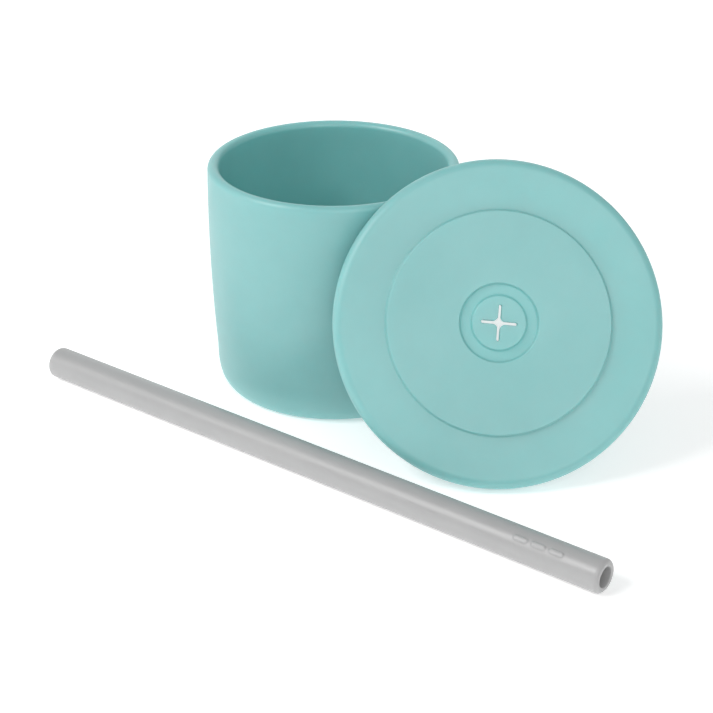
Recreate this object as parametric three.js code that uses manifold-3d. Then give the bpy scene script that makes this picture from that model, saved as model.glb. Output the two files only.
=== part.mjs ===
// A toddler's straw cup in moulded silicone, laid out open: the cup stands, its
// press-in lid leans on the rim with one edge on the table, and the straw lies in front.
// Millimetres, +Z up. The origin is the centre of the cup's flat base.
import * as THREE from "three";
import { mergeVertices } from "three/addons/utils/BufferGeometryUtils.js";
import Module from "manifold-3d";

// Driving sizes of the cup
const CUP_HEIGHT = 69;
const RIM_RADIUS = 37; // outside, at the lip
const WALL_TAPER = 2.35; // how much smaller the wall's radius is at the table than at the rim
const WALL_BULGE = 1; // how far the wall swells past a straight taper at half height
const CUP_WALL = 3.4;
const CORNER_WIDTH = 5.9; // the rounded foot corner, across
const CORNER_HEIGHT = 11.3; // and up the wall
const CORNER_FULLNESS = 2.96; // superellipse exponent: 2 is an ellipse, more is squarer

// Driving sizes of the lid
const BRIM_OVERHANG = 8.6; // how far the lid reaches past the cup's rim, to be peeled off by
const FLANGE_THICKNESS = 2.6;
const SKIRT_DEPTH = 6; // from the flange's top face to the skirt's lower edge
const SKIRT_WALL = 2.4;
const EDGE_ROUNDING = 2.5; // the soft top edge, all round
const PLUG_CLEARANCE = 0.3; // between the plug ring and the cup's mouth
const PLUG_WALL = 2.4;
const PLUG_DEPTH = 5; // below the flange
const PLATEAU_HEIGHT = 1; // the middle of the lid stands this much above the flange
const MOAT_WIDTH = 3.4; // the thin ring around the slit disc, which lets the disc flex
const MOAT_DEPTH = 1.1;
const MOAT_FLOOR = 1.4; // silicone left under the moat
const DISC_MARGIN = 2.5; // from the slit's tip to the edge of its disc
const SLIT_SPARE = 0.35; // the slit reaches this far past the straw's wall, each way
const SLIT_WIDTH = 0.75;
const SLIT_THROAT = 1.3; // radius of the four curves where the slit's arms meet
const SLIT_TURN = THREE.MathUtils.degToRad(-3.5);
const SOFT_EDGE = 0.4; // rounding of the small steps in the lid's top
const RING_ROUNDING = 0.9; // rounding of the free edges of the skirt and the plug

// Driving sizes of the straw
const STRAW_LENGTH = 196;
const STRAW_RADIUS = 4.65;
const STRAW_WALL = 1.85;

// Where the lid and the straw are laid
const CONTACT_GAP = 0.3;
const LID_LEAN = THREE.MathUtils.degToRad(29.3); // back from upright
const LID_TURN = THREE.MathUtils.degToRad(2); // to the right of straight ahead
const LID_ASIDE = 8.8; // the lid's centre, to the right of the rim's right edge
const STRAW_HEADING = THREE.MathUtils.degToRad(-38.16);
const STRAW_TAIL = 64.95; // how much of the straw lies left of its point nearest the cup
const STRAW_CLEARANCE = 2.4; // in plan, between the straw and what it lies in front of

// Fineness
const ROUND_STEPS = 48;
const STRAW_STEPS = 20;
const FILLET_STEPS = 3;
const CORNER_STEPS = 8;
const WALL_STEPS = 6;
const LIP_STEPS = 8;
const SLIT_STEPS = 4;
const CUT_THROUGH = 1; // a cutter runs this far past each face

const teal = { color: 0x8cc6c4, roughness: 0.55, metalness: 0 };
const grey = { color: 0xb9b9b9, roughness: 0.5, metalness: 0 };

const wasm = await Module();
wasm.setup();

// The cup's outside radius at a height above the table.
function wallRadius(height) {
  const share = height / CUP_HEIGHT;
  const straight = RIM_RADIUS - WALL_TAPER * (1 - share);
  return straight + 4 * WALL_BULGE * share * (1 - share);
}

// A quarter of a superellipse, from the flat at the bottom to the upright wall.
function footCorner(outerRadius, width, height, lift) {
  const points = [];
  for (let i = 0; i <= CORNER_STEPS; i++) {
    const angle = (i / CORNER_STEPS) * (Math.PI / 2);
    const across = Math.sin(angle) ** (2 / CORNER_FULLNESS);
    const up = 1 - Math.cos(angle) ** (2 / CORNER_FULLNESS);
    points.push(new THREE.Vector2(outerRadius - width * (1 - across), lift + height * up));
  }
  return points;
}

// An outline through corners given as [radius, height, rounding].
function roundedOutline(corners) {
  const at = (i) => new THREE.Vector2(corners[i][0], corners[i][1]);
  const points = [];
  corners.forEach(([, , rounding = 0], i) => {
    const corner = at(i);
    if (rounding === 0) {
      points.push(corner);
      return;
    }
    const back = at(i - 1).sub(corner).normalize();
    const on = at(i + 1).sub(corner).normalize();
    const half = Math.acos(back.dot(on)) / 2;
    const centre = back.clone().add(on).setLength(rounding / Math.sin(half)).add(corner);
    const reach = rounding / Math.tan(half);
    const from = back.multiplyScalar(reach).add(corner).sub(centre);
    const to = on.multiplyScalar(reach).add(corner).sub(centre);
    const sweep = (Math.PI - 2 * half) * Math.sign(from.cross(to));
    for (let k = 0; k <= FILLET_STEPS; k++) {
      const spoke = from.clone().rotateAround(new THREE.Vector2(), (sweep * k) / FILLET_STEPS);
      points.push(spoke.add(centre));
    }
  });
  return points;
}

// A half circle that closes a wall's free edge, turning left from the start angle.
function roundEnd(radius, height, rounding, startAngle) {
  const points = [];
  for (let i = 0; i <= LIP_STEPS; i++) {
    const angle = startAngle + (i / LIP_STEPS) * Math.PI;
    const across = rounding * Math.cos(angle);
    points.push(new THREE.Vector2(radius + across, height + rounding * Math.sin(angle)));
  }
  return points;
}

// A solid of revolution about +Z.
function turned(outline, steps) {
  return new THREE.LatheGeometry(outline, steps).rotateX(Math.PI / 2);
}

function toSolid(geometry) {
  const bare = geometry.clone();
  bare.deleteAttribute("normal");
  bare.deleteAttribute("uv");
  const merged = mergeVertices(bare, 1e-4);
  return new wasm.Manifold(
    new wasm.Mesh({
      numProp: 3,
      vertProperties: merged.attributes.position.array,
      triVerts: new Uint32Array(merged.index.array),
    }),
  );
}

function toGeometry(solid) {
  const mesh = solid.getMesh();
  const geometry = new THREE.BufferGeometry();
  geometry.setAttribute("position", new THREE.BufferAttribute(mesh.vertProperties, 3));
  geometry.setIndex(new THREE.BufferAttribute(mesh.triVerts, 1));
  geometry.computeVertexNormals();
  return geometry;
}

function named(name, geometry, finish) {
  const mesh = new THREE.Mesh(geometry, new THREE.MeshStandardMaterial(finish));
  mesh.name = name;
  return mesh;
}

// The cup: one moulding, with an even wall, a full-round lip and a squarish soft foot.
const lipRadius = CUP_WALL / 2;
const lipHeight = CUP_HEIGHT - lipRadius;

const innerCornerTop = CORNER_HEIGHT + lipRadius;

// The wall between two heights, without its ends.
function wallPoints(from, to, inset) {
  const points = [];
  for (let i = 1; i < WALL_STEPS; i++) {
    const height = THREE.MathUtils.lerp(from, to, i / WALL_STEPS);
    points.push(new THREE.Vector2(wallRadius(height) - inset, height));
  }
  return points;
}

function cupOutline() {
  const innerRadius = wallRadius(innerCornerTop) - CUP_WALL;
  const innerWidth = CORNER_WIDTH - lipRadius;
  const innerHeight = innerCornerTop - CUP_WALL;
  return [
    new THREE.Vector2(0, 0),
    ...footCorner(wallRadius(CORNER_HEIGHT), CORNER_WIDTH, CORNER_HEIGHT, 0),
    ...wallPoints(CORNER_HEIGHT, lipHeight, 0),
    ...roundEnd(wallRadius(lipHeight) - lipRadius, lipHeight, lipRadius, 0),
    ...wallPoints(lipHeight, innerCornerTop, CUP_WALL),
    ...footCorner(innerRadius, innerWidth, innerHeight, CUP_WALL).reverse(),
    new THREE.Vector2(0, CUP_WALL),
  ];
}

const cup = named("cup", turned(cupOutline(), ROUND_STEPS), teal);

// The lid: a brimmed disc whose plug ring presses into the cup's mouth. Its raised middle
// ends over the plug's inner wall. Height 0 is the top face of the brim.
const lidRadius = RIM_RADIUS + BRIM_OVERHANG;
const slitReach = STRAW_RADIUS + SLIT_SPARE;
const discRadius = slitReach + DISC_MARGIN;
const moatRadius = discRadius + MOAT_WIDTH;
const plugOuter = wallRadius(lipHeight) - CUP_WALL - PLUG_CLEARANCE;
const plugInner = plugOuter - PLUG_WALL;
const moatHeight = PLATEAU_HEIGHT - MOAT_DEPTH;
const pocketHeight = moatHeight - MOAT_FLOOR;
const skirtInner = lidRadius - SKIRT_WALL;
const plugHeight = -FLANGE_THICKNESS - PLUG_DEPTH;

const lidOutline = roundedOutline([
  [0, PLATEAU_HEIGHT],
  [discRadius, PLATEAU_HEIGHT, SOFT_EDGE],
  [discRadius, moatHeight],
  [moatRadius, moatHeight],
  [moatRadius, PLATEAU_HEIGHT, SOFT_EDGE],
  [plugInner, PLATEAU_HEIGHT, SOFT_EDGE],
  [plugInner, 0],
  [lidRadius, 0, EDGE_ROUNDING],
  [lidRadius, -SKIRT_DEPTH, RING_ROUNDING],
  [skirtInner, -SKIRT_DEPTH, RING_ROUNDING],
  [skirtInner, -FLANGE_THICKNESS],
  [plugOuter, -FLANGE_THICKNESS],
  [plugOuter, plugHeight, RING_ROUNDING],
  [plugInner, plugHeight, RING_ROUNDING],
  [plugInner, -FLANGE_THICKNESS],
  [moatRadius, -FLANGE_THICKNESS],
  [moatRadius, pocketHeight],
  [0, pocketHeight],
]).reverse();

// A cross with round arm ends and a flared middle, centred on the axis.
function slitShape() {
  const half = SLIT_WIDTH / 2;
  const bend = half + SLIT_THROAT;
  const shape = new THREE.Shape();
  for (let arm = 0; arm < 4; arm++) {
    const angle = (arm * Math.PI) / 2 + SLIT_TURN;
    const place = (along, aside) =>
      new THREE.Vector2(along, aside).rotateAround(new THREE.Vector2(), angle);
    const start = place(bend, -half);
    if (arm === 0) shape.moveTo(start.x, start.y);
    const tip = place(slitReach - half, 0);
    shape.absarc(tip.x, tip.y, half, angle - Math.PI / 2, angle + Math.PI / 2, false);
    const throat = place(bend, bend);
    shape.absarc(throat.x, throat.y, SLIT_THROAT, angle - Math.PI / 2, angle - Math.PI, true);
  }
  return shape;
}

function lidGeometry() {
  const cutter = new THREE.ExtrudeGeometry(slitShape(), {
    depth: PLATEAU_HEIGHT - pocketHeight + 2 * CUT_THROUGH,
    bevelEnabled: false,
    curveSegments: SLIT_STEPS,
  });
  cutter.translate(0, 0, pocketHeight - CUT_THROUGH);
  return toGeometry(toSolid(turned(lidOutline, ROUND_STEPS)).subtract(toSolid(cutter)));
}

// The lid is stood on its edge, face forwards, then leaned back until it meets the cup.
const lid = named("lid", lidGeometry(), teal);
const leaned = new THREE.Group();
leaned.rotation.set(Math.PI / 2 - LID_LEAN, 0, LID_TURN, "ZYX");
leaned.add(lid);
leaned.updateMatrixWorld(true);

// Points on the lid's surface, relative to its centre, as it stands leaned.
const lidPoints = lidOutline.flatMap((point) => {
  const ring = [];
  for (let i = 0; i < ROUND_STEPS; i++) {
    const angle = (i / ROUND_STEPS) * 2 * Math.PI;
    const local = new THREE.Vector3(point.x * Math.sin(angle), -point.x * Math.cos(angle), point.y);
    ring.push(local.applyEuler(leaned.rotation));
  }
  return ring;
});

const lidOffset = RIM_RADIUS + LID_ASIDE;
const lidHeight = -Math.min(...lidPoints.map((point) => point.z));

// How far forward the lid stands: every point at the cup's height stays in front of its wall.
const lidForward = Math.min(
  ...lidPoints.map((point) => {
    const height = point.z + lidHeight;
    const radius = height < CUP_HEIGHT ? wallRadius(height) + CONTACT_GAP : 0;
    const aside = point.x + lidOffset;
    if (Math.abs(aside) >= radius) return Infinity;
    return -Math.sqrt(radius * radius - aside * aside) - point.y;
  }),
);
leaned.position.set(lidOffset, lidForward, lidHeight);

// The straw: a straight tube with soft round ends, lying on the table in front.
function strawOutline() {
  const rounding = STRAW_WALL / 2;
  const middle = STRAW_RADIUS - rounding;
  const nearEnd = roundEnd(middle, rounding, rounding, Math.PI);
  const farEnd = roundEnd(middle, STRAW_LENGTH - rounding, rounding, 0);
  return [...nearEnd, ...farEnd, nearEnd[0].clone()];
}

const straw = named("straw", turned(strawOutline(), STRAW_STEPS), grey);
straw.rotation.set(0, Math.PI / 2, 0);

// In plan, the straw's line stands off from the cup's axis along this direction.
const standOff = new THREE.Vector2(Math.sin(STRAW_HEADING), -Math.cos(STRAW_HEADING));
const reachOf = (x, y) => standOff.dot(new THREE.Vector2(x, y));
const lidReach = Math.max(
  ...lidPoints.map((point) => reachOf(point.x + lidOffset, point.y + lidForward)),
);
const strawDistance = Math.max(lidReach, RIM_RADIUS + WALL_BULGE) + STRAW_RADIUS + STRAW_CLEARANCE;

const laid = new THREE.Group();
laid.rotation.z = STRAW_HEADING;
laid.position.set(
  standOff.x * strawDistance - Math.cos(STRAW_HEADING) * STRAW_TAIL,
  standOff.y * strawDistance - Math.sin(STRAW_HEADING) * STRAW_TAIL,
  STRAW_RADIUS,
);
laid.add(straw);

const strawCup = new THREE.Group();
strawCup.add(cup, leaned, laid);

export default strawCup;
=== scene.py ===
# %% [markdown]
# # A silicone straw cup for a toddler
#
# Three soft mouldings make this cup: an open beaker, a brimmed lid with a cross slit, and a
# straight straw. They are laid out as they would be on a table before a meal. The beaker
# stands, the lid leans on its rim, and the straw lies in front.
#
# A plain CAD model already holds every size and place. This lesson keeps that model as a
# frame, and makes each moulding again as a smooth mesh with a real silicone finish.

# %% Load the frame
import math

import bmesh
import bpy
import numpy as np
from mathutils import Matrix, Vector


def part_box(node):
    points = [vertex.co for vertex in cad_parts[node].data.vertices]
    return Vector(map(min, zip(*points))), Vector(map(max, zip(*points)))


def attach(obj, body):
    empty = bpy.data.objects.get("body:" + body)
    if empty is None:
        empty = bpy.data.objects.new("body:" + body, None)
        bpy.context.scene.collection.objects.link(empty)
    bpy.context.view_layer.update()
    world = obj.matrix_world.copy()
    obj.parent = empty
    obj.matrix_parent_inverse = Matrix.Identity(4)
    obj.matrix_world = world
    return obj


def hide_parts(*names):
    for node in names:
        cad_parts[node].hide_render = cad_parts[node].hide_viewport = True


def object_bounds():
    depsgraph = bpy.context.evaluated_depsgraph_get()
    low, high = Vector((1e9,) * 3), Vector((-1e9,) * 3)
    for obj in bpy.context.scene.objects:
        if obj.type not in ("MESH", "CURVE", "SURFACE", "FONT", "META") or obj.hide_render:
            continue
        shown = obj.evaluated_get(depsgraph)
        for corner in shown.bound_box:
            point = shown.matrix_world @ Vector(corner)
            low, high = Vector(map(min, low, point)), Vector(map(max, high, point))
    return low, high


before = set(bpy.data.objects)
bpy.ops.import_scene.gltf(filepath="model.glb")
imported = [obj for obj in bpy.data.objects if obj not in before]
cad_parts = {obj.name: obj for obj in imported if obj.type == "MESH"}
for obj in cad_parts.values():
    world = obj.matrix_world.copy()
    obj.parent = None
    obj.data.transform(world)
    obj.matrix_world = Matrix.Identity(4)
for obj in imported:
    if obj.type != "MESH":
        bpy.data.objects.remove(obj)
cad_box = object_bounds()


def in_mm(vector):
    return [round(1000 * value, 1) for value in vector]


print("CAD box, mm:", in_mm(cad_box[0]), in_mm(cad_box[1]))

# %% [markdown]
# ## Skins made of loops
#
# All three mouldings are round, so each could come from Blender's Spin tool or a Screw
# modifier. The lid can't, because its middle is cut by a cross. A list of loops does all
# three: every loop is a ring of points, and faces are laid between one loop and the next.
# A loop may be a circle, a cross, anything with the same number of points, or one point
# that closes the skin at its pole. Sizes are in millimetres, and the mesh is in metres.

# %% Loops to mesh
MM = 0.001


def circle(radius, height, count):
    turn = np.linspace(0, 2 * math.pi, count, endpoint=False)
    return np.column_stack([radius * np.cos(turn), radius * np.sin(turn), np.full(count, height)])


def pole(height):
    return np.array([[0.0, 0.0, height]])


def band(first, second):
    """The faces between two loops, given as the numbers of their points."""
    count = max(len(first), len(second))
    faces = []
    for i in range(count):
        j = (i + 1) % count
        if len(first) == 1:
            faces.append((first[0], second[j], second[i]))
        elif len(second) == 1:
            faces.append((first[i], first[j], second[0]))
        else:
            faces.append((first[i], first[j], second[j], second[i]))
    return faces


def skin(name, loops, closed=False):
    numbers = np.split(np.arange(sum(map(len, loops))), np.cumsum([len(p) for p in loops])[:-1])
    numbers = [list(map(int, group)) for group in numbers]
    pairs = list(zip(numbers, numbers[1:]))
    if closed:
        pairs.append((numbers[-1], numbers[0]))
    mesh = bpy.data.meshes.new(name)
    mesh.from_pydata(np.vstack(loops) * MM, [], [face for pair in pairs for face in band(*pair)])
    solid = bmesh.new()
    solid.from_mesh(mesh)
    bmesh.ops.recalc_face_normals(solid, faces=solid.faces)
    for face in solid.faces:
        face.smooth = True
    solid.to_mesh(mesh)
    solid.free()
    piece = bpy.data.objects.new(name, mesh)
    bpy.context.scene.collection.objects.link(piece)
    print(name, "has", len(mesh.polygons), "faces")
    return piece


# %% [markdown]
# ## Outlines
#
# A turned shape is set by its outline, half of the section that a knife would show. Most of
# an outline is corners with a rounding, as a drawing gives them. Every long straight stretch
# also gets a point close to each of its ends. The smooth shading then stays flat on the flat
# parts and turns only in the roundings.

# %% Outline helpers
CLOSE = 0.15
STRIDE = 2.5


def arc(centre, radius, start, end, steps):
    turn = np.radians(np.linspace(start, end, steps + 1))
    return np.column_stack([centre[0] + radius * np.cos(turn), centre[1] + radius * np.sin(turn)])


def rounded(corners, steps=6):
    """Points through corners given as (radius, height, rounding)."""
    points = []
    for i, (x, y, rounding) in enumerate(corners):
        corner = np.array([x, y])
        if not rounding:
            points.append(corner)
            continue
        back = np.array(corners[i - 1][:2]) - corner
        on = np.array(corners[i + 1][:2]) - corner
        back, on = back / np.linalg.norm(back), on / np.linalg.norm(on)
        half = math.acos(np.clip(back @ on, -1, 1)) / 2
        centre = corner + (back + on) / np.linalg.norm(back + on) * rounding / math.sin(half)
        reach = rounding / math.tan(half)
        first, last = corner + back * reach - centre, corner + on * reach - centre
        start = math.degrees(math.atan2(first[1], first[0]))
        sweep = math.degrees(math.atan2(last[1], last[0])) - start
        sweep = (sweep + 180) % 360 - 180
        points.extend(arc(centre, rounding, start, start + sweep, steps))
    return np.array(points)


def supported(points):
    """The same outline with points near both ends of each long straight, and between them."""
    result = [points[0]]
    for start, end in zip(points, points[1:]):
        length = np.linalg.norm(end - start)
        if length > 4 * CLOSE:
            count = max(1, round(length / STRIDE))
            inner = np.linspace(CLOSE / length, 1 - CLOSE / length, count + 1)
            result.extend(start + (end - start) * share for share in inner)
        result.append(end)
    return np.array(result)


# %% [markdown]
# ## The beaker
#
# The beaker is one soft moulding with an even wall. The wall tapers a little towards the
# table and swells slightly on the way, so the side reads as a very shallow barrel. The foot
# is a squarish soft corner, taller than it is wide. A superellipse gives that in one
# formula, where an arc would look too round. The lip is a full half round as thick as the
# wall, because that is what a child drinks from.

# %% Beaker outline
BEAKER_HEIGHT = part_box("cup")[1].z / MM
RIM_RADIUS = 37.0
WALL_TAPER = 2.35
WALL_BULGE = 1.0
WALL = 3.4
CORNER_WIDTH = 5.9
CORNER_HEIGHT = 11.3
CORNER_FULLNESS = 2.96
lip_radius = WALL / 2
lip_height = BEAKER_HEIGHT - lip_radius


def wall_radius(height):
    share = height / BEAKER_HEIGHT
    return RIM_RADIUS - WALL_TAPER * (1 - share) + 4 * WALL_BULGE * share * (1 - share)


def foot_corner(outer_radius, width, height, lift, steps=20):
    turn = np.linspace(0, math.pi / 2, steps + 1)
    across = np.sin(turn) ** (2 / CORNER_FULLNESS)
    up = 1 - np.cos(turn).clip(0) ** (2 / CORNER_FULLNESS)
    return np.column_stack([outer_radius - width * (1 - across), lift + height * up])


def wall_line(start, end, inset, steps=24):
    heights = np.linspace(start, end, steps + 1)[1:-1]
    return np.column_stack([wall_radius(heights) - inset, heights])


inner_top = CORNER_HEIGHT + lip_radius
outside_corner = foot_corner(wall_radius(CORNER_HEIGHT), CORNER_WIDTH, CORNER_HEIGHT, 0)
inside_corner = foot_corner(
    wall_radius(inner_top) - WALL, CORNER_WIDTH - lip_radius, inner_top - WALL, WALL
)
print("the beaker's mouth is", round(2 * (wall_radius(lip_height) - WALL), 1), "mm wide")

# %% [markdown]
# The silicone enters the mould under the middle of the base, and leaves a small round
# dimple there. It is only seen when the beaker is turned over.

# %% Beaker mesh
GATE_RADIUS = 3.0
GATE_DEPTH = 0.4
GATE_SLOPE = 0.4
GATE_SOFT = 0.3
LIP_STEPS = 20
ROUND = 192
gate = rounded([
    (0, GATE_DEPTH, 0),
    (GATE_RADIUS, GATE_DEPTH, GATE_SOFT),
    (GATE_RADIUS + GATE_SLOPE, 0, GATE_SOFT),
    (*outside_corner[0], 0),
], steps=3)
lip = arc((wall_radius(lip_height) - lip_radius, lip_height), lip_radius, 0, 180, LIP_STEPS)
inside_floor = np.array([inside_corner[0], (0, WALL)])
beaker_outline = np.vstack([
    supported(gate)[1:-1],
    outside_corner,
    wall_line(CORNER_HEIGHT, lip_height, 0),
    lip,
    wall_line(lip_height, inner_top, WALL),
    inside_corner[::-1],
    supported(inside_floor)[1:-1],
])
beaker_loops = [circle(radius, height, ROUND) for radius, height in beaker_outline]
beaker = skin("beaker", [pole(GATE_DEPTH), *beaker_loops, pole(WALL)])

# %% [markdown]
# ## The lid
#
# The lid is a brimmed disc. Its middle stands a millimetre proud and ends exactly over the
# inner wall of the plug ring, which presses into the beaker's mouth. A shallow moat leaves
# only a thin web around the centre disc, so the disc can flex when the straw goes through
# the slit. The brim reaches well past the beaker, to be peeled off by, and its edge turns
# down into a short skirt.

# %% Lid sizes
LID_RADIUS = RIM_RADIUS + 8.6
FLANGE = 2.6
SKIRT_DEPTH = 6.0
SKIRT_WALL = 2.4
EDGE_ROUNDING = 2.5
PLUG_OUTER = wall_radius(lip_height) - WALL - 0.3
PLUG_INNER = PLUG_OUTER - 2.4
PLUG_DEPTH = 5.0
PLATEAU = 1.0
MOAT_DEPTH = 1.1
MOAT_FLOOR = 1.4
STRAW_RADIUS = (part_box("straw")[1].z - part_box("straw")[0].z) / MM / 2
SLIT_REACH = STRAW_RADIUS + 0.35
SLIT_WIDTH = 0.85
SLIT_THROAT = 1.3
DISC_RADIUS = SLIT_REACH + 2.5
MOAT_RADIUS = DISC_RADIUS + 3.4
moat_height = PLATEAU - MOAT_DEPTH
pocket_height = moat_height - MOAT_FLOOR
print("lid radius", LID_RADIUS, "plug", round(PLUG_OUTER, 2), "slit reach", round(SLIT_REACH, 2))

# %% [markdown]
# ### The cross slit
#
# The slit could be cut by a Boolean, but that leaves long thin triangles that shade badly
# on a smooth face. Instead the innermost loops are crosses. Each arm has parallel sides and
# a round tip, and the arms meet in small flared curves. A cross that is grown by a little
# has the same points in the same order, so it gives the slit its softened edge, and the
# disc is filled by loops that change step by step from the cross to a circle.

# %% Cross loops
THROAT_STEPS = 6
SIDE_STEPS = 14
TIP_STEPS = 10
SLIT_TURN = -5.9


def cross(grow, height):
    half = SLIT_WIDTH / 2 + grow
    bend = SLIT_WIDTH / 2 + SLIT_THROAT
    throat = SLIT_THROAT - grow
    tip = SLIT_REACH - SLIT_WIDTH / 2
    side = np.linspace(bend, tip, SIDE_STEPS + 1)[1:]
    arm = np.vstack([
        arc((bend, -bend), throat, 135, 90, THROAT_STEPS),
        np.column_stack([side, np.full(SIDE_STEPS, -half)]),
        arc((tip, 0), half, -90, 90, TIP_STEPS)[1:],
        np.column_stack([side[::-1][1:], np.full(SIDE_STEPS - 1, half)]),
        arc((bend, bend), throat, 270, 225, THROAT_STEPS)[:-1],
    ])
    turns = [np.radians(90 * quarter + SLIT_TURN) for quarter in range(4)]
    spun = [
        np.column_stack([
            arm[:, 0] * math.cos(t) - arm[:, 1] * math.sin(t),
            arm[:, 0] * math.sin(t) + arm[:, 1] * math.cos(t),
            np.full(len(arm), height),
        ])
        for t in turns
    ]
    return np.vstack(spun)


LID_ROUND = len(cross(0, 0))
print("each lid loop has", LID_ROUND, "points")


def lid_circle(radius, height):
    """A circle whose points sit opposite the points of the cross."""
    turn = np.radians(SLIT_TURN - 45 + 360 * np.arange(LID_ROUND) / LID_ROUND)
    return np.column_stack([radius * np.cos(turn), radius * np.sin(turn), np.full(LID_ROUND, height)])


# %% Slit, disc and pocket
SLIT_SOFT = 0.16
DISC_LOOPS = 9
CROWDING = 1.3
DISC_MARGIN = 0.6
POCKET_MARGIN = 0.4


def slit_edge(face, inwards):
    """Three loops that round the slit's edge at a face; inwards is -1 under a top face."""
    turns = np.radians([0, 30, 60])
    return [
        cross(SLIT_SOFT * (1 - math.cos(t)), face + inwards * SLIT_SOFT * (1 - math.sin(t)))
        for t in turns
    ]


def disc_face(radius, height):
    """Loops over a flat face, from the slit's softened edge out to a circle."""
    start = cross(SLIT_SOFT, height)
    end = lid_circle(radius, height)
    shares = np.linspace(0, 1, DISC_LOOPS) ** CROWDING
    return [start + (end - start) * share for share in shares]


top_face = slit_edge(PLATEAU, -1) + disc_face(DISC_RADIUS - DISC_MARGIN, PLATEAU)
under_face = slit_edge(pocket_height, 1) + disc_face(MOAT_RADIUS - POCKET_MARGIN, pocket_height)
under_face.reverse()
print("the disc has", len(top_face), "loops on top and", len(under_face), "below")

# %% [markdown]
# ### The turned part of the lid
#
# From the edge of the disc outwards everything is round again, so one outline with rounded
# corners describes it: down into the moat, up on to the plateau, down to the brim, round
# the edge, and back underneath over the skirt and the plug ring.

# %% Lid mesh
SOFT = 0.4
HOLLOW = 0.3
STEP_HOLLOW = 0.5
RING_SOFT = 0.9
MOAT_SLOPE = 0.1
STEP_SLOPE = 0.25
plug_end = -FLANGE - PLUG_DEPTH
skirt_inner = LID_RADIUS - SKIRT_WALL
lid_outline = supported(rounded([
    (DISC_RADIUS - DISC_MARGIN, PLATEAU, 0),
    (DISC_RADIUS, PLATEAU, SOFT),
    (DISC_RADIUS + MOAT_SLOPE, moat_height, STEP_HOLLOW),
    (MOAT_RADIUS - MOAT_SLOPE, moat_height, STEP_HOLLOW),
    (MOAT_RADIUS, PLATEAU, SOFT),
    (PLUG_INNER, PLATEAU, SOFT),
    (PLUG_INNER + STEP_SLOPE, 0, STEP_HOLLOW),
    (LID_RADIUS, 0, EDGE_ROUNDING),
    (LID_RADIUS, -SKIRT_DEPTH, RING_SOFT),
    (skirt_inner, -SKIRT_DEPTH, RING_SOFT),
    (skirt_inner, -FLANGE, RING_SOFT),
    (PLUG_OUTER, -FLANGE, HOLLOW),
    (PLUG_OUTER, plug_end, RING_SOFT),
    (PLUG_INNER, plug_end, RING_SOFT),
    (PLUG_INNER, -FLANGE, RING_SOFT),
    (MOAT_RADIUS, -FLANGE, SOFT),
    (MOAT_RADIUS, pocket_height, HOLLOW),
    (MOAT_RADIUS - POCKET_MARGIN, pocket_height, 0),
], steps=8))
turned_part = [lid_circle(radius, height) for radius, height in lid_outline[1:-1]]
lid = skin("brimmed_lid", [*top_face, *turned_part, *under_face], closed=True)

# %% [markdown]
# ## The straw
#
# The straw is a plain thick tube. Its ends are well rounded outside, so no hard edge meets
# the gums, and the bore keeps a crisper edge, where the mould's pin leaves it. Near the
# upper end the mould leaves three small raised dashes, a grip for wet fingers. They are
# made by lifting the tube's own rows, so they swell out of the surface as moulded marks do,
# where separate pieces stuck on would show a seam.

# %% Straw rows
STRAW_LENGTH = 196.0
STRAW_WALL = 1.85
DASH_COUNT = 3
DASH_LENGTH = 4.2
DASH_WIDTH = 1.3
DASH_SPACING = 5.4
DASH_HEIGHT = 0.36
DASH_EDGE = 0.5
DASH_START = STRAW_LENGTH - 26
DASH_SIDE = 40.0
STRAW_ROUND = 160
NEARLY = 0.01


def dash_lift(along, turn):
    """How far the dashes lift the surface at a height and a turn, in millimetres."""
    aside = STRAW_RADIUS * math.radians(turn - DASH_SIDE)
    lift = 0.0
    for i in range(DASH_COUNT):
        start = DASH_START + i * DASH_SPACING + DASH_WIDTH / 2
        end = start + DASH_LENGTH - DASH_WIDTH
        beyond = along - min(max(along, start), end)
        share = (DASH_WIDTH / 2 + DASH_EDGE / 2 - math.hypot(beyond, aside)) / DASH_EDGE
        share = min(max(share, 0), 1)
        lift = max(lift, DASH_HEIGHT * share * share * (3 - 2 * share))
    return lift


def straw_row(radius, height):
    row = circle(radius, height, STRAW_ROUND)
    if radius < STRAW_RADIUS - NEARLY:
        return row
    for i in range(STRAW_ROUND):
        turn = 360 * i / STRAW_ROUND
        row[i, :2] *= 1 + dash_lift(height, turn) / radius
    return row


# %% Straw mesh
DASH_ROW = 0.2
END_ROUNDING = 1.3
END_STEPS = 12
BORE_ROUNDING = 0.4
BORE_STEPS = 6
PLAIN_ROWS = 60
TOP_ROWS = 8
BORE_ROWS = 40
bore = STRAW_RADIUS - STRAW_WALL
plain_end = DASH_START - 1
dash_end = DASH_START + DASH_COUNT * DASH_SPACING
body_heights = [
    *np.linspace(END_ROUNDING, plain_end, PLAIN_ROWS)[1:],
    *np.arange(plain_end + DASH_ROW, dash_end, DASH_ROW),
    *np.linspace(dash_end, STRAW_LENGTH - END_ROUNDING, TOP_ROWS)[:-1],
]
bore_heights = np.linspace(STRAW_LENGTH - BORE_ROUNDING, BORE_ROUNDING, BORE_ROWS)[1:-1]
outer_turn = (STRAW_RADIUS - END_ROUNDING, STRAW_LENGTH - END_ROUNDING)
inner_turn = (bore + BORE_ROUNDING, STRAW_LENGTH - BORE_ROUNDING)
straw_outline = np.vstack([
    arc((inner_turn[0], BORE_ROUNDING), BORE_ROUNDING, 180, 270, BORE_STEPS),
    arc((outer_turn[0], END_ROUNDING), END_ROUNDING, 270, 360, END_STEPS),
    [(STRAW_RADIUS, height) for height in body_heights],
    arc(outer_turn, END_ROUNDING, 0, 90, END_STEPS),
    arc(inner_turn, BORE_ROUNDING, 90, 180, BORE_STEPS),
    [(bore, height) for height in bore_heights],
])
straw_rows = [straw_row(radius, height) for radius, height in straw_outline]
straw = skin("straw_tube", straw_rows, closed=True)

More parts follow.
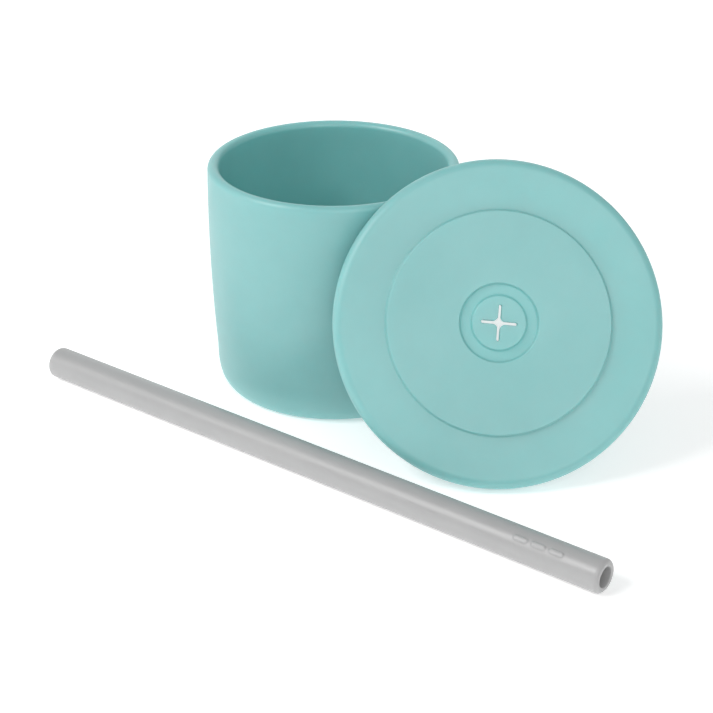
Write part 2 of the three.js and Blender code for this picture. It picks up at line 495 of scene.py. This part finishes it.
# %% [markdown]
# ## Laying the pieces out
#
# Each moulding was made in its own upright frame, so that its finish can follow its own
# axis. Now it is turned as it lies on the table, and moved until its box stands on the box
# of its CAD node. The CAD node is then hidden, and the new piece takes its body.

# %% Lay out
LID_LEAN = 29.3
LID_TURN = 2.0
STRAW_HEADING = -38.16


def lay(piece, turn, node):
    piece.matrix_world = turn
    corners = np.array([turn @ vertex.co for vertex in piece.data.vertices])
    low, high = corners.min(0), corners.max(0)
    goal_low, goal_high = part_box(node)
    shift = (goal_low + goal_high) / 2 - Vector((low + high) / 2)
    shift.z = goal_low.z - low[2]
    piece.matrix_world = Matrix.Translation(shift) @ turn
    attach(piece, node)
    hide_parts(node)
    print(piece.name, "is laid at", in_mm(piece.matrix_world.translation))


lay(beaker, Matrix.Identity(4), "cup")

upright = Matrix.Rotation(math.radians(90 - LID_LEAN), 4, "X")
lay(lid, Matrix.Rotation(math.radians(LID_TURN), 4, "Z") @ upright, "lid")

heading = math.radians(STRAW_HEADING)
along = Vector((math.cos(heading), math.sin(heading), 0))
up = Vector((0, 0, 1))
front = along.cross(up)
lay(straw, Matrix((up, front, along)).transposed().to_4x4(), "straw")

# %% [markdown]
# ## Writing finishes as sums
#
# A finish is worked out by a net of nodes. A small class wraps one socket, so that
# `1 - mask` or `0.4 + 0.1 * noise` adds the Math nodes for it. A recipe holds one
# material, and its one method adds any other node from its type, its settings and the
# values or wires of its sockets.

# %% Wires and recipes
class Wire:
    """One output socket, on which sums and products can be written."""

    def __init__(self, recipe, socket):
        self.recipe = recipe
        self.socket = socket

    def math(self, operation, *values):
        return self.recipe.node("ShaderNodeMath", {"operation": operation}, dict(enumerate(values)))

    def __add__(self, other):
        return self.math("ADD", self, other)

    def __sub__(self, other):
        return self.math("SUBTRACT", self, other)

    def __rsub__(self, other):
        return self.math("SUBTRACT", other, self)

    def __mul__(self, other):
        return self.math("MULTIPLY", self, other)

    def __truediv__(self, other):
        return self.math("DIVIDE", self, other)

    def __abs__(self):
        return self.math("ABSOLUTE", self)

    __radd__ = __add__
    __rmul__ = __mul__


class Recipe:
    """One material and the nodes that work out its finish."""

    def __init__(self, name):
        self.material = bpy.data.materials.new(name)
        self.material.use_nodes = True
        self.tree = self.material.node_tree
        self.shader = self.tree.nodes["Principled BSDF"]

    def node(self, kind, settings, sockets, output=0):
        made = self.tree.nodes.new(kind)
        for name, value in settings.items():
            setattr(made, name, value)
        self.fill(made, sockets)
        return Wire(self, made.outputs[output])

    def fill(self, made, sockets):
        for name, value in sockets.items():
            if isinstance(value, Wire):
                self.tree.links.new(value.socket, made.inputs[name])
            else:
                made.inputs[name].default_value = value

    def place(self):
        """Where a point lies in its piece's own frame, in millimetres."""
        own = self.node("ShaderNodeTexCoord", {}, {}, "Object")
        return self.node("ShaderNodeVectorMath", {"operation": "SCALE"}, {0: own, "Scale": 1 / MM})

    def noise(self, place, size, detail=2.0, roughness=0.5):
        """Soft random values between 0 and 1, with lumps of about this size in millimetres."""
        sockets = {"Vector": place, "Scale": 1 / size, "Detail": detail, "Roughness": roughness}
        return self.node("ShaderNodeTexNoise", {}, sockets)

    def between(self, value, low, high):
        """0 at low, 1 at high, smooth in between."""
        sockets = {"Value": value, "From Min": low, "From Max": high}
        return self.node("ShaderNodeMapRange", {"interpolation_type": "SMOOTHSTEP"}, sockets)

    def mix(self, share, first, second):
        sockets = {"Factor": share, 6: first, 7: second}
        return self.node("ShaderNodeMix", {"data_type": "RGBA"}, sockets, 2)

    def bump(self, height):
        """A normal bent by heights in millimetres."""
        return self.node("ShaderNodeBump", {}, {"Height": height, "Distance": MM})


# %% [markdown]
# ## Teal silicone
#
# The beaker and the lid are one satin silicone. A mould is sand blasted, so the skin is a
# very fine grain that spreads every highlight wide. Pigment is milled into the rubber and
# never mixes quite evenly, which leaves clouds a few millimetres across. Skin oil and
# washing leave broad patches a little shinier or duller. Light also travels a little way
# into the rubber, so the shader's subsurface is switched on, and it softens the shade
# round every edge.
#
# The clouds, the patches and the grain could be painted images. Noise in the piece's own
# frame needs none, has no seam, and keeps its size in millimetres.

# %% Silicone recipe
CLOUD_SIZE = 9.0
PATCH_SIZE = 26.0
HAZE_SHARE = 0.3
SATIN = 0.37
HAZE_DULLS = 0.1
GRAIN_DULLS = 0.06
GRAIN_SIZE = 0.45
GRAIN_HEIGHT = 0.012
WAVE_SIZE = 14.0
WAVE_HEIGHT = 0.06
SCATTER_WEIGHT = 0.4
SCATTER_DEPTH = 0.01
GLOSS = 0.85


def silicone(recipe, base, cloudy, hazy, reach, seam):
    """Fills a recipe's shader; seam is a height in millimetres worked out by the caller."""
    place = recipe.place()
    clouds = recipe.noise(place, CLOUD_SIZE, detail=3, roughness=0.55)
    patches = recipe.noise(place, PATCH_SIZE, detail=2, roughness=0.45)
    grain = recipe.noise(place, GRAIN_SIZE, detail=2, roughness=0.6)
    waves = recipe.noise(place, WAVE_SIZE, detail=1, roughness=0.4)
    haze = recipe.between(patches + 0.25 * clouds, 0.5, 0.9)
    pigment = recipe.mix(recipe.between(clouds, 0.3, 0.7), base, cloudy)
    colour = recipe.mix(HAZE_SHARE * haze, pigment, hazy)
    roughness = SATIN + HAZE_DULLS * haze + GRAIN_DULLS * grain
    height = GRAIN_HEIGHT * grain + WAVE_HEIGHT * waves + seam
    recipe.fill(recipe.shader, {
        "Base Color": colour,
        "Roughness": roughness,
        "Normal": recipe.bump(height),
        "Subsurface Weight": SCATTER_WEIGHT,
        "Subsurface Radius": reach,
        "Subsurface Scale": SCATTER_DEPTH,
        "Specular IOR Level": GLOSS,
    })
    print(recipe.material.name, "uses", len(recipe.tree.nodes), "nodes")
    return recipe.material


# %% [markdown]
# The two halves of the mould meet round the side of the brim. A hair of rubber is squeezed
# out there and trimmed, which leaves a witness line that a fingertip can just feel. It could
# be a loop of the mesh, but a bump costs nothing and can be moved by one number. The line is
# a ridge at one height in the lid's frame, so it also crosses the walls hidden under the
# brim, where such lines are found too. The beaker lies wholly above that height in its own
# frame, so both pieces can share one recipe.

# %% Teal finish
WITNESS_WIDTH = 0.16
WITNESS_HEIGHT = 0.05
WITNESS_DROP = EDGE_ROUNDING + 1
TEAL = (0.216, 0.487, 0.484, 1)
TEAL_CLOUDY = (0.226, 0.5, 0.496, 1)
TEAL_HAZY = (0.24, 0.514, 0.508, 1)
TEAL_REACH = (0.25, 1, 0.97)


def teal_silicone():
    recipe = Recipe("teal_silicone_skin")
    height = recipe.node("ShaderNodeSeparateXYZ", {}, {0: recipe.place()}, "Z")
    offset = abs(height + WITNESS_DROP) / WITNESS_WIDTH
    ridge = 1 - recipe.between(offset, 0, 1)
    return silicone(recipe, TEAL, TEAL_CLOUDY, TEAL_HAZY, TEAL_REACH, WITNESS_HEIGHT * ridge)


teal = teal_silicone()
for piece in (beaker, lid):
    piece.data.materials.append(teal)

# %% [markdown]
# ## Grey silicone
#
# The straw is the same rubber with a pale grey pigment. It is moulded in two halves round a
# steel pin, and their joint runs the whole length as two fine lines on opposite sides. A
# plane through the straw's axis gives both lines at once: where the distance to the plane
# is nearly nothing, the surface is lifted by a few hundredths of a millimetre.

# %% Grey finish
SEAM_SIDE = 120.0
SEAM_WIDTH = 0.18
SEAM_HEIGHT = 0.04
GREY = (0.402, 0.402, 0.404, 1)
GREY_CLOUDY = (0.415, 0.415, 0.416, 1)
GREY_HAZY = (0.432, 0.432, 0.432, 1)
GREY_REACH = (0.4, 0.4, 0.4)


def grey_silicone():
    recipe = Recipe("grey_silicone_skin")
    place = recipe.place()
    across = recipe.node("ShaderNodeSeparateXYZ", {}, {0: place}, "X")
    aside = recipe.node("ShaderNodeSeparateXYZ", {}, {0: place}, "Y")
    side = math.radians(SEAM_SIDE)
    from_plane = abs(math.sin(side) * across - math.cos(side) * aside) / SEAM_WIDTH
    ridge = 1 - recipe.between(from_plane, 0, 1)
    return silicone(recipe, GREY, GREY_CLOUDY, GREY_HAZY, GREY_REACH, SEAM_HEIGHT * ridge)


straw.data.materials.append(grey_silicone())

# %% [markdown]
# ## The table
#
# The pieces lie on a plain white table, with a fine orange peel in its paint. White paint
# alone turns grey in the shade of the pieces. Product studios get round that with a table
# that is lit from below, so this one glows a little by itself.

# %% Table
TABLE_SIDE = 6.0
TABLE_CELLS = 12
TABLE_GLOW = 0.36
PAINT_SIZE = 40.0
PAINT_DARK = (0.93, 0.93, 0.93, 1)
PAINT_LIGHT = (0.95, 0.95, 0.95, 1)
PEEL_SIZE = 1.5
PEEL_HEIGHT = 0.01


def table_finish():
    recipe = Recipe("white_table_skin")
    place = recipe.place()
    paint = recipe.noise(place, PAINT_SIZE, detail=3)
    peel = recipe.noise(place, PEEL_SIZE)
    recipe.fill(recipe.shader, {
        "Base Color": recipe.mix(paint, PAINT_DARK, PAINT_LIGHT),
        "Roughness": 0.75 + 0.1 * paint,
        "Normal": recipe.bump(PEEL_HEIGHT * peel),
        "Specular IOR Level": 0.2,
        "Emission Color": (1, 1, 1, 1),
        "Emission Strength": TABLE_GLOW,
    })
    return recipe.material


sheet = bmesh.new()
bmesh.ops.create_grid(sheet, x_segments=TABLE_CELLS, y_segments=TABLE_CELLS, size=TABLE_SIDE / 2)
table_mesh = bpy.data.meshes.new("table")
sheet.to_mesh(table_mesh)
sheet.free()
table = bpy.data.objects.new("table", table_mesh)
table.location.z = cad_box[0].z
table_mesh.materials.append(table_finish())
bpy.context.scene.collection.objects.link(table)
print("the table lies at", in_mm(table.location))

# %% [markdown]
# ## The light
#
# The light is that of a product studio, where a pale room fills every shadow and soft boxes
# do the rest. A wide one low on the left and one behind model the side of the beaker. The
# front one lies near the mirror direction of the leaning lid, and gives its face an even
# satin glow. The one high on the left is the smallest, so its light rakes over the lid and
# draws one side of every step darker. A weak one on the right keeps that side from going
# dull. Small boxes close by would give the same shades, but would leave the far parts of
# the table dark, so all stand more than three metres away.

# %% Lights
middle = (cad_box[0] + cad_box[1]) / 2
BOX_DISTANCE = 3.3
FRONT_DISTANCE = 4.2


def soft_box(name, azimuth, elevation, distance, side, power):
    """A square soft box that faces the middle; azimuth 0 is in front and 90 is on the right."""
    light = bpy.data.lights.new(name, "AREA")
    light.shape = "SQUARE"
    light.size = side
    light.energy = power
    lamp = bpy.data.objects.new(name, light)
    turn, lift = math.radians(azimuth), math.radians(elevation)
    flat = Vector((math.sin(turn), -math.cos(turn), 0)) * math.cos(lift)
    direction = flat + Vector((0, 0, math.sin(lift)))
    lamp.location = middle + direction * distance
    lamp.rotation_euler = direction.to_track_quat("Z", "Y").to_euler()
    bpy.context.scene.collection.objects.link(lamp)
    print(name, "is", side, "m wide and gives", power, "W")


ROOM_LIGHT = 0.4
room = bpy.data.worlds.new("pale_room")
room.use_nodes = True
room.node_tree.nodes["Background"].inputs["Color"].default_value = (1, 1, 1, 1)
room.node_tree.nodes["Background"].inputs["Strength"].default_value = ROOM_LIGHT
bpy.context.scene.world = room
soft_box("left_box", azimuth=-107, elevation=13, distance=BOX_DISTANCE, side=3.0, power=21)
soft_box("high_left_box", azimuth=-66, elevation=44, distance=BOX_DISTANCE, side=1.26, power=45)
soft_box("front_box", azimuth=12, elevation=33, distance=FRONT_DISTANCE, side=2.4, power=41)
soft_box("right_box", azimuth=85, elevation=12, distance=BOX_DISTANCE, side=3.0, power=7)
soft_box("back_box", azimuth=180, elevation=15, distance=BOX_DISTANCE, side=3.6, power=28)

# %% [markdown]
# ## The camera
#
# A long lens from a little more than half a metre keeps the beaker's sides nearly upright,
# and the camera looks down just far enough to show the inside of the beaker and most of the
# lid's face. The view transform is Standard, so that white stays white.

# %% Camera
CAMERA_PLACE = Vector((0.00674, -0.5326, 0.2699))
CAMERA_PITCH = 26.45
CAMERA_LENS = 97.42
NEAREST = 0.01

lens = bpy.data.cameras.new("camera")
lens.lens = CAMERA_LENS
lens.clip_start = NEAREST
camera = bpy.data.objects.new("camera", lens)
camera.location = CAMERA_PLACE
camera.rotation_euler = (math.radians(90 - CAMERA_PITCH), 0, 0)
bpy.context.scene.collection.objects.link(camera)
bpy.context.scene.camera = camera
print("the camera stands at", in_mm(camera.location), "mm")
bpy.context.scene.view_settings.view_transform = "Standard"
